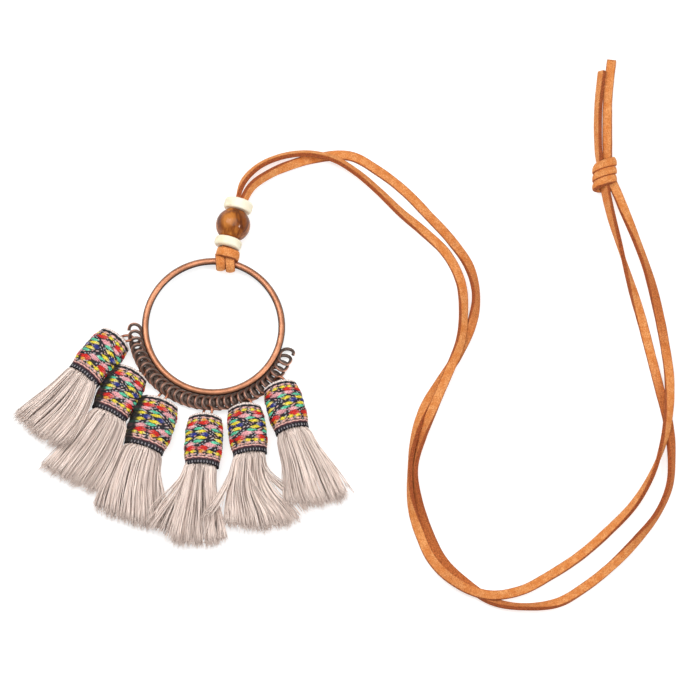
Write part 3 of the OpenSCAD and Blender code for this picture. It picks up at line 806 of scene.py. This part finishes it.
# Tassel fringes: several hundred soft greige yarns a tassel, folded over the ring, gripped by the band and
# cut off below. They fan out in fine wavy strands with dark gaps between, and their cut ends are frayed.
fringe_starts = [0.014, 0.0126, 0.0142, 0.0141, 0.0134, 0.0134]
yarn_count = 620
yarn_radius = 0.00018
yarn_steps = 13
lock_count = 46
fringe_thick = 0.0046
fray_count = 900
fray_radius = 0.00006
fold_count = 44
fold_radius = 0.00016
fold_steps = 19
fold_depth = 0.0016

# For each tassel, in millimetres from the band's lower edge: left side, right side and cut ends as
# (down, across) pairs, then how high the left and right sides are carried over a neighbour.
fringe_shapes = [
    ([(0, -6.0), (12, -8.2), (23.8, -11.1), (27, -11.6)],
     [(0, 6.1), (4.1, 7.2), (6.4, 8.4), (11.5, 10.6), (20.3, 12.4), (27, 12.4)],
     [(-1, 24.0), (-0.5, 25.6), (0.3, 25.5), (0.7, 24.6), (1, 22.2)], 0, 5.2),
    ([(0, -6.0), (12, -9.4), (29, -14.6)], [(0, 7.2), (11.4, 9.4), (29, 9.2)],
     [(-1, 25.6), (-0.3, 26.4), (0.5, 26.0), (1, 26.0)], 0, 0),
    ([(0, -6.6), (12, -8.8), (21.4, -9.8), (28, -9.2)],
     [(0, 7.3), (9.4, 9.2), (16.9, 12.6), (21.5, 15.4), (28, 17.8)],
     [(-1, 24.4), (-0.4, 25.4), (0.4, 25.6), (1, 24.0)], 0, 0),
    ([(0, -6.0), (7.4, -6.5), (12.4, -7.9), (22.3, -11.4), (30, -13)],
     [(0, 6.1), (9.2, 6.4), (13, 7.4), (23.9, 10.9), (30, 12.4)],
     [(-1, 23.2), (-0.8, 25.4), (0, 27.2), (0.6, 26.2), (1, 24)], 2.6, 0),
    ([(0, -6.0), (8.4, -8.4), (14.1, -11), (22.8, -13.6), (30, -14)],
     [(0, 6.1), (4, 5.6), (8.1, 5.4), (14, 8.1), (21.6, 14.6), (30, 17.6)],
     [(-1, 22.0), (-0.6, 23.8), (-0.1, 25.2), (0.6, 24.6), (1, 22.4)], 4.0, 0),
    ([(0, -6.0), (13.6, -7.3), (20.6, -9.0), (30, -9)],
     [(0, 6.1), (5.9, 7.2), (13, 9.5), (19.6, 11.6), (30, 14)],
     [(-1, 23.6), (-0.5, 25.6), (0.1, 26.4), (0.7, 26.2), (1, 25.0)], 3.2, 0),
]
# Stray locks: tassel, place across the band, end as (down, across) in millimetres, yarns in the lock, and
# how late it leaves the others
stray_locks = [
    (4, -0.9, (22.6, -15.4), 18, 3.2), (5, -0.95, (19.4, -17.2), 30, 3.6), (5, 0.8, (20.6, 16.8), 28, 2.6),
    (3, 0.9, (24.2, 16.4), 12, 2.4), (6, 0.9, (25.4, 13.4), 10, 2.2), (4, -0.95, (21.4, -15.6), 8, 2.6),
    (5, -0.1, (24.4, 5.0), 12, 1.6), (4, 0.75, (25.0, 4.5), 22, 1.8),
]


def along_pairs(pairs, at):
    """A smooth value along a list of pairs."""
    pairs = np.array(pairs, float)
    slope = np.gradient(pairs[:, 1], pairs[:, 0])
    at = np.clip(at, pairs[0, 0], pairs[-1, 0])
    span = np.clip(np.searchsorted(pairs[:, 0], at, side="right") - 1, 0, len(pairs) - 2)
    length = pairs[span + 1, 0] - pairs[span, 0]
    t = (at - pairs[span, 0]) / length
    return eased(pairs[span, 1], pairs[span + 1, 1], slope[span] * length, slope[span + 1] * length, t)


def yarn_finish():
    """Soft fluffy yarn, from brown to nearly white, its browns partly painted shade deep in the fringe."""
    finish, tree, shader = new_finish(
        "Greige yarn", Roughness=0.75, Specular_IOR_Level=0.25, Sheen_Weight=0.1,
    )
    yarn = point_value(tree, "yarn_shade")
    speckle = speckled(tree, 3600, 300)
    colour = mixed(tree, yarn.outputs["Fac"], srgb(130, 104, 92), srgb(251, 234, 224))
    fluff = mixed(tree, speckle.outputs["Fine"], (0.7, 0.68, 0.66, 1), (1, 1, 1, 1))
    tree.links.new(mixed(tree, 0.25, colour, fluff, "MULTIPLY"), shader.inputs["Base Color"])
    bumped(tree, speckle.outputs["Fine"], 0.00005, shader, 0.5)
    return finish


greige_yarn = yarn_finish()


def yarn_bundle(name, lines, radii, shades, sides):
    """Many yarns as one mesh: lines is yarns by points by 3, radii and shades are yarns by points."""
    right, above = ways_beside(lines, (0.03, 0.02, 1))
    a = np.arange(sides) * 2 * math.pi / sides
    a = a[None, None, :, None]
    out = np.cos(a) * right[:, :, None, :] + np.sin(a) * above[:, :, None, :]
    rings = lines[:, :, None, :] + radii[:, :, None, None] * out
    yarns, points = lines.shape[:2]
    ring_first = (np.arange(points - 1) * sides)[None, :, None]
    first = (np.arange(yarns) * points * sides)[:, None, None] + ring_first
    s = np.arange(sides)[None, None, :]
    after = (s + 1) % sides
    faces = np.stack([first + s, first + after, first + sides + after, first + sides + s], axis=-1)
    faces = faces.reshape(-1, 4).tolist()
    for base in range(0, yarns * points * sides, points * sides):
        faces.append([base + k for k in range(sides)][::-1])
        faces.append([base + (points - 1) * sides + k for k in range(sides)])
    piece = smooth_piece(name, rings, faces)
    point_mask(piece, "yarn_shade", np.repeat(shades[:, :, None], sides, axis=2))
    return piece


def even_ranks(values):
    """The values replaced by even steps from -1 to 1 in the same order."""
    ranks = np.empty(len(values))
    ranks[np.argsort(values)] = np.linspace(-1, 1, len(values))
    return ranks


def fringe_lines(number):
    """Every yarn of one tassel below the band: its points, radii and shades."""
    rng = np.random.default_rng(100 + number)
    left, right, ends, lift_left, lift_right = fringe_shapes[number - 1]
    wide, high = (float(v) for v in band_size(1.0))
    root_middle = high / 2
    wide, high = wide - 2 * band_wall, high - 2 * band_wall
    a = rng.uniform(0, 2 * math.pi, yarn_count)
    far = np.sqrt(rng.uniform(0.05, 1, yarn_count))
    root_y, root_z = oval_places(far * wide, far * high, a)
    layer = (root_z / high + 0.5)[:, None]
    side = even_ranks(root_y + rng.normal(0, 0.0009, yarn_count))
    lock_side = rng.uniform(-1, 1, lock_count)
    lock_layer = rng.uniform(0, 1, lock_count)
    lock = np.argmin((side[:, None] - lock_side) ** 2 + 0.35 * (layer - lock_layer) ** 2, axis=1)
    q = np.linspace(0, 1, yarn_steps)[None, :]
    long = along_pairs(ends, side) * 0.001 * rng.normal(1, 0.012, lock_count)[lock]
    long = long * (1 - np.abs(rng.normal(0, 0.022, yarn_count)))
    down = q * long[:, None]
    mm = down * 1000
    edge_left, edge_right = along_pairs(left, mm) * 0.001, along_pairs(right, mm) * 0.001
    share = (side[:, None] + 1) / 2
    fan = edge_left + (edge_right - edge_left) * (0.025 + 0.95 * share)
    blend = smooth_step(0, 1, mm / 4.5)
    y = root_y[:, None] * (1 - blend) + fan * blend
    gather = 0.32 * np.sin(math.pi * np.clip(q * 0.9, 0, 1))
    lock_y = edge_left + (edge_right - edge_left) * (0.03 + 0.94 * (lock_side[lock][:, None] + 1) / 2)
    y = y * (1 - gather * blend) + lock_y * gather * blend
    y = y + rng.normal(0, 0.0009 if number in (4, 5) else 0.0005, lock_count)[lock][:, None] * q**1.5
    y = y + rng.normal(0, 0.00055, yarn_count)[:, None] * q**1.3
    wave = rng.uniform(0.00005, 0.0003, yarn_count)[:, None]
    beat, start = rng.uniform(0.8, 2.4, yarn_count)[:, None], rng.uniform(0, 1, yarn_count)[:, None]
    y = y + wave * np.sin(2 * math.pi * (q * beat + start)) * q
    for tassel, place, (end_down, end_across), count, late in stray_locks:
        if tassel == number:
            near = np.argsort(np.abs(side - place) + 0.25 * (1 - layer[:, 0]))[:count]
            bend = q**late
            target = end_across * 0.001 + rng.uniform(-0.5, 0.5, count)[:, None] * 0.0034
            y[near] = y[near] * (1 - bend) + target * bend
            down[near] = q * (end_down * 0.001) * rng.uniform(0.86, 1.05, count)[:, None]
    thick = fringe_thick * layer + 0.0003
    sink = (1 - q) ** 1.15
    z = (root_middle + root_z[:, None]) * sink + thick * (1 - sink)
    lift = np.where(side[:, None] < 0, lift_left, lift_right) * 0.001
    carried = lift * np.abs(side[:, None]) ** 1.3 * q**0.9
    z = z + carried + rng.uniform(-0.0005, 0.0007, lock_count)[lock][:, None] * np.sin(math.pi * q)
    z = z + wave * np.sin(2 * math.pi * (q * beat * 0.9 + start + 0.3)) * q
    z = np.maximum(z, yarn_radius)
    x = fringe_starts[number - 1] + down + 0.003 * q
    # Painted shade and light: lower layers are painted darker and every yarn lighter towards its cut end, on
    # top of its random tone.
    shade = rng.normal(0.72, 0.26, yarn_count)[:, None] + 0.3 * (layer - 0.6) + 0.16 * q**2
    shade = shade + rng.normal(0, 0.1, lock_count)[lock][:, None]
    radius = yarn_radius * rng.uniform(0.7, 1.2, yarn_count)[:, None] * (1 - 0.3 * q**4) + 0 * x
    return np.stack([x, y, z], axis=-1), radius, np.clip(shade, 0, 1)


def frayed_ends(lines, number):
    """Fine fibres that splay out of the yarns' cut ends."""
    rng = np.random.default_rng(200 + number)
    pick = rng.integers(0, len(lines), fray_count)
    tip = lines[pick, -1]
    way = unit(tip - lines[pick, -2])
    way = way + rng.normal(0, 0.4, way.shape) * (1, 1, 0.3)
    reach = rng.uniform(0.0006, 0.0022, len(pick))[:, None]
    t = np.linspace(-0.6, 1, 4)
    points = tip[:, None, :] + way[:, None, :] * (reach * t)[..., None]
    points[..., 2] = np.maximum(points[..., 2], 0.0001)
    radius = np.full(points.shape[:2], fray_radius) * np.array([1, 1, 0.8, 0.3])
    # Painted light: the frayed fibres are painted pale, against the shade where they crowd at the cut ends.
    return points, radius, np.clip(rng.normal(0.86, 0.14, (len(pick), 1)) + np.zeros((1, 4)), 0, 1)


def through(points, count):
    """A smooth curve through each row of points, yarns by points by 3."""
    slope = np.gradient(points, axis=1)
    at = np.linspace(0, points.shape[1] - 1, count)
    span = np.clip(at.astype(int), 0, points.shape[1] - 2)
    t = (at - span)[None, :, None]
    return eased(points[:, span], points[:, span + 1], slope[:, span], slope[:, span + 1], t)


def folded_yarns(number):
    """The yarns that run from inside the band's mouth over the jump ring's wire and back."""
    turn, lean, side, reach = tassel_hangs[number - 1]
    rng = np.random.default_rng(300 + number)
    count = fold_count
    turned = jump_middle(turn)[1] - math.radians(lean)
    lowest = math.atan2(-math.cos(jump_tilt) * math.sin(turned), math.cos(turned))
    spot = lowest + rng.uniform(-0.42, 0.42, count)
    plane_x, plane_y = np.cos(spot), np.sin(spot) * math.cos(jump_tilt)
    wire = np.column_stack([
        jump_r * (plane_x * math.cos(turned) - plane_y * math.sin(turned)) - reach * jump_d / 2,
        jump_r * (plane_x * math.sin(turned) + plane_y * math.cos(turned)) - side * jump_d,
        coil_height + jump_r * np.sin(spot) * math.sin(jump_tilt),
    ])
    thick = (jump_wire / 2 + 0.00012 + rng.uniform(0, 0.00055, count))[:, None]
    middle = float(band_size(0.0)[1]) / 2
    place = rng.uniform(-0.0032, 0.0032, count)
    over = np.column_stack([np.full(count, fold_depth), place, middle + rng.uniform(0.0002, 0.0019, count)])
    back = np.column_stack([np.full(count, fold_depth), place, middle - rng.uniform(0.0002, 0.0019, count)])
    up, ahead = np.array([0, 0, 1]), np.array([1, 0, 0])
    ways = [(0.8, 0.6), (0.7, -0.7), (0, -1), (-0.7, -0.7), (-0.8, 0.6)]
    rows = [over] + [wire + thick * (rise * up + on * ahead) for rise, on in ways] + [back]
    lines = through(np.stack(rows, axis=1), fold_steps)
    lines[..., 2] = np.maximum(lines[..., 2], 0.0002)
    shade = np.clip(rng.normal(0.6, 0.2, (count, 1)) + np.zeros((1, fold_steps)), 0, 1)
    return lines, np.full(lines.shape[:2], fold_radius), shade


def join_to(piece, *others):
    """Joins other pieces to a piece."""
    bpy.ops.object.select_all(action="DESELECT")
    for part in (piece, *others):
        part.select_set(True)
    bpy.context.view_layer.objects.active = piece
    bpy.ops.object.join()


for number in range(1, 7):
    lines, radii, shades = fringe_lines(number)
    fine, fine_radii, fine_shades = frayed_ends(lines, number)
    folds, fold_radii, fold_shades = folded_yarns(number)
    yarns = yarn_bundle(f"fringe_yarn_{number}", placed(lines, number), radii, shades, 4)
    frays = yarn_bundle(f"fringe_fray_{number}", placed(fine, number), fine_radii, fine_shades, 3)
    folded = yarn_bundle(f"fringe_fold_{number}", placed(folds, number), fold_radii, fold_shades, 5)
    join_to(yarns, frays, folded)
    finish_piece(yarns, greige_yarn, f"fringe_{number}")

# Hitch: the folded middle of the lace, looped round the hoop as a lark's head. Two wraps lie side by side
# over the wire, and a bar of the same lace crosses above them, against the lower bead.
string_across = np.array([math.cos(string_lean), -math.sin(string_lean), 0])
string_ahead = np.array([math.sin(string_lean), math.cos(string_lean), 0])


def bent_strip(name, outline, axis_a, middle, across, seed, crown):
    """A strip bent along an outline in the plane of axis_a and up, its width along across."""
    line = np.array([middle + axis_a * a + np.array([0, 0, b]) for a, b in outline])
    ahead = unit(np.gradient(line, axis=0))
    wide_way = np.tile(across, (len(line), 1))
    return lace_strip(name, line, wide_way, np.cross(ahead, wide_way), seed, crown)


wrap_r = hoop_wire / 2 + lace_thick / 2 + lace_gap
wrap_apart = 4.1
wrap_shift = -1.3
wrap_lean = math.radians(-4)
wrap_across = np.array([math.cos(wrap_lean), -math.sin(wrap_lean), 0])
wrap_ahead = np.array([math.sin(wrap_lean), math.cos(wrap_lean), 0])
hitch_parts = []
for side, seed in ((1, 11), (-1, 12)):
    place = hitch_angle + math.radians(side * wrap_apart + wrap_shift)
    over = [(0.0021, wrap_r - 0.001), (0.0016, wrap_r - 0.0006), (0.0009, wrap_r - 0.0001)]
    around = [(-wrap_r * math.sin(a) * 1.12, wrap_r * math.cos(a)) for a in np.linspace(0, math.pi, 22)]
    under = [(0.0012, -wrap_r), (0.0024, -wrap_r), (0.0034, -wrap_r)]
    middle = np.array([hoop_middle_r * math.cos(place), hoop_middle_r * math.sin(place), hoop_height])
    outline = over + around + under
    hitch_parts.append(bent_strip(
        f"hitch_wrap_{seed}", outline, wrap_ahead, middle, wrap_across, seed, wrap_crown,
    ))
bar_long = 0.008
bar_over = 0.0005
bar_under = 0.0003
bar_half = bar_long / 2 - lace_thick / 2
bar_top = string_height + lace_wide / 2 + bar_over - lace_thick / 2
bar_low = bar_under + lace_thick / 2
bar_round = 0.0022
bar_outline = []
for cx, cz, start in (
    (bar_half - bar_round, bar_top - bar_round, 0), (-bar_half + bar_round, bar_top - bar_round, 90),
    (-bar_half + bar_round, bar_low + bar_round, 180), (bar_half - bar_round, bar_low + bar_round, 270),
):
    for bit in np.linspace(0, 90, 9):
        a = math.radians(start + bit)
        bar_outline.append((cx + bar_round * math.cos(a), cz + bar_round * math.sin(a)))
bar_outline.append(bar_outline[0])
hitch_parts.append(bent_strip(
    "hitch_bar", bar_outline, string_across, string_place(0.0026, 0.0008, 0), string_ahead, 13,
    -wrap_crown / 2,
))
join_to(*hitch_parts)
hitch = hitch_parts[0]
hitch.name = "hitch_loops"
finish_piece(hitch, suede, "lace_hitch")

# Beads: a turned and varnished wooden ball between two flat ivory-coloured discs, threaded on both laces.
# Each is drilled through, and its rims are eased.
bore_r = 0.00235
ball_r = 0.006
ball_long = 0.0102
ball_end_r = math.sqrt(ball_r**2 - ball_long**2 / 4)
wood_at = 0.0131
disc_ease = 0.00095
ball_ease = 0.0003
# Name, radius, thickness and place on the string of each disc, and the CAD node it stands for
discs = [
    ("ivory_disc_lower", 0.0047, 0.0033, 0.00625, "bead_lower"),
    ("ivory_disc_upper", 0.005, 0.0038, 0.0203, "bead_upper"),
]


def drill_and_place(piece, half, along, rim_r, ease):
    """Opens the bore between the two end faces, rounds the outer rims and puts the bead on its string."""
    select_faces(piece, lambda face: len(face.vertices) > 8)
    bpy.ops.mesh.bridge_edge_loops()
    bpy.ops.mesh.select_mode(type="EDGE")
    bpy.ops.mesh.select_all(action="DESELECT")
    bpy.ops.object.mode_set(mode="OBJECT")
    corners = piece.data.vertices
    for edge in piece.data.edges:
        ends = [corners[v].co for v in edge.vertices]
        edge.select = all(
            abs(abs(end.z) - half) < 1e-5 and math.hypot(end.x, end.y) > rim_r - 1e-5 for end in ends
        )
    bpy.ops.object.mode_set(mode="EDIT")
    bpy.ops.mesh.bevel(offset=ease, segments=7, profile=0.5, clamp_overlap=False)
    bpy.ops.object.mode_set(mode="OBJECT")
    turn = Matrix.Rotation(-string_lean, 4, "Z") @ Matrix.Rotation(math.radians(90), 4, "X")
    piece.data.transform(Matrix.Translation(string_place(along, 0, string_height)) @ turn)
    bpy.ops.object.shade_smooth_by_angle(angle=math.radians(40))


def ivory_finish():
    """Ivory-coloured resin, faintly clouded and polished."""
    finish, tree, shader = new_finish("Ivory resin", Roughness=0.45, Coat_Weight=0.2)
    speckle = speckled(tree, 900, 240)
    colour = mixed(tree, speckle.outputs["Patch"], srgb(255, 242, 208), srgb(255, 249, 226))
    tree.links.new(colour, shader.inputs["Base Color"])
    bumped(tree, speckle.outputs["Fine"], 0.00003, shader, 0.4)
    return finish


ivory = ivory_finish()
for name, radius, thick, along, node in discs:
    bpy.ops.object.select_all(action="DESELECT")
    bpy.ops.mesh.primitive_cylinder_add(vertices=72, radius=radius, depth=thick)
    disc = bpy.context.object
    disc.name = name
    select_faces(disc, lambda face: abs(face.normal.z) > 0.9)
    bpy.ops.mesh.inset(thickness=radius - bore_r, depth=0)
    bpy.ops.object.mode_set(mode="OBJECT")
    drill_and_place(disc, thick / 2, along, radius, disc_ease)
    finish_piece(disc, ivory, node)


def varnished_wood():
    """Mottled brown wood with one pale patch, a painted highlight on its upper left, under a thin varnish.
    """
    finish, tree, shader = new_finish(
        "Varnished wood", Roughness=0.5, Specular_IOR_Level=0.12, Coat_Weight=0.4, Coat_Roughness=0.13,
    )
    place = tree.nodes.new("ShaderNodeTexCoord")
    stretch = node_in(tree, "ShaderNodeMapping", Rotation=(0.3, 0.2, 0.5), Scale=(1, 0.35, 1))
    tree.links.new(place.outputs["Object"], stretch.inputs["Vector"])
    figure = node_in(tree, "ShaderNodeTexNoise", Scale=330, Detail=3, Distortion=1.2)
    tree.links.new(stretch.outputs["Vector"], figure.inputs["Vector"])
    grain = node_in(tree, "ShaderNodeTexNoise", Scale=1900, Detail=4)
    tree.links.new(stretch.outputs["Vector"], grain.inputs["Vector"])
    tone = tree.nodes.new("ShaderNodeValToRGB")
    tone.color_ramp.elements[0].position = 0.34
    tone.color_ramp.elements[0].color = srgb(98, 46, 12)
    tone.color_ramp.elements[1].position = 0.66
    tone.color_ramp.elements[1].color = srgb(200, 124, 48)
    middle = tone.color_ramp.elements.new(0.5)
    middle.color = srgb(148, 80, 24)
    tree.links.new(figure.outputs["Fac"], tone.inputs["Fac"])
    # Painted highlight: a pale golden patch on the ball's upper left, where the light from the upper left
    # falls.
    from_highlight = tree.nodes.new("ShaderNodeVectorMath")
    from_highlight.operation = "DISTANCE"
    highlight_middle = string_place(wood_at, 0, string_height) + ball_r * np.array([-0.27, 0.1, 0.95])
    from_highlight.inputs[1].default_value = highlight_middle
    tree.links.new(place.outputs["Object"], from_highlight.inputs[0])
    painted_highlight = node_in(tree, "ShaderNodeMapRange", From_Min=0.0036, From_Max=0.001)
    painted_highlight.interpolation_type = "SMOOTHSTEP"
    tree.links.new(from_highlight.outputs["Value"], painted_highlight.inputs["Value"])
    highlighted_wood = mixed(tree, painted_highlight.outputs["Result"], tone.outputs["Color"], srgb(204, 128, 56))
    fine = mixed(tree, grain.outputs["Fac"], (0.4, 0.3, 0.25, 1), (1.2, 1.2, 1.2, 1))
    colour = mixed(tree, 0.35, highlighted_wood, fine, "MULTIPLY")
    tree.links.new(colour, shader.inputs["Base Color"])
    return finish


bpy.ops.object.select_all(action="DESELECT")
bpy.ops.mesh.primitive_uv_sphere_add(segments=72, ring_count=48, radius=ball_r)
ball = bpy.context.object
ball.name = "wooden_ball"
for height, way in ((ball_long / 2, 1), (-ball_long / 2, -1)):
    bpy.ops.object.mode_set(mode="EDIT")
    bpy.ops.mesh.select_all(action="SELECT")
    bpy.ops.mesh.bisect(plane_co=(0, 0, height), plane_no=(0, 0, way), clear_outer=True, use_fill=True)
    bpy.ops.object.mode_set(mode="OBJECT")
select_faces(ball, lambda face: abs(face.normal.z) > 0.99 and abs(face.center.z) > ball_long * 0.49)
bpy.ops.mesh.inset(thickness=ball_end_r - bore_r, depth=0)
bpy.ops.object.mode_set(mode="OBJECT")
drill_and_place(ball, ball_long / 2, wood_at, ball_end_r, ball_ease)
finish_piece(ball, varnished_wood(), "bead_wood")

# Table and light: a plain white surface, a broad soft light overhead, one from the upper left that gives the
# varnish and the metal their bright spots, and a small one from the right that lifts the shaded sides.
bpy.ops.object.select_all(action="DESELECT")
bpy.ops.mesh.primitive_plane_add(size=6, location=(0, 0, 0))
table = bpy.context.object
table.name = "white_table"
white = new_finish(
    "White table", Base_Color=(0.5, 0.5, 0.5, 1), Roughness=0.8,
    Emission_Color=(1, 1, 1, 1), Emission_Strength=0.66,
)[0]
table.data.materials.append(white)

world = bpy.data.worlds.new("Studio")
bpy.context.scene.world = world
world.use_nodes = True
background = world.node_tree.nodes["Background"]
background.inputs["Color"].default_value = (1, 1, 1, 1)
background.inputs["Strength"].default_value = 0.28


def soft_light(name, place, size, power):
    """A square light that faces the necklace."""
    data = bpy.data.lights.new(name, "AREA")
    data.shape = "SQUARE"
    data.size = size
    data.energy = power
    light = bpy.data.objects.new(name, data)
    light.location = place
    light.rotation_euler = (view_middle - Vector(place)).to_track_quat("-Z", "Y").to_euler()
    bpy.context.scene.collection.objects.link(light)


soft_light("Overhead light", (0.05, 0.1, 0.9), 0.8, 5.0)
soft_light("Upper left light", (-0.39, 0.25, 0.68), 0.42, 2.8)
soft_light("Right light", (0.55, -0.22, 0.52), 0.12, 1.5)
bpy.context.scene.view_settings.view_transform = "Standard"
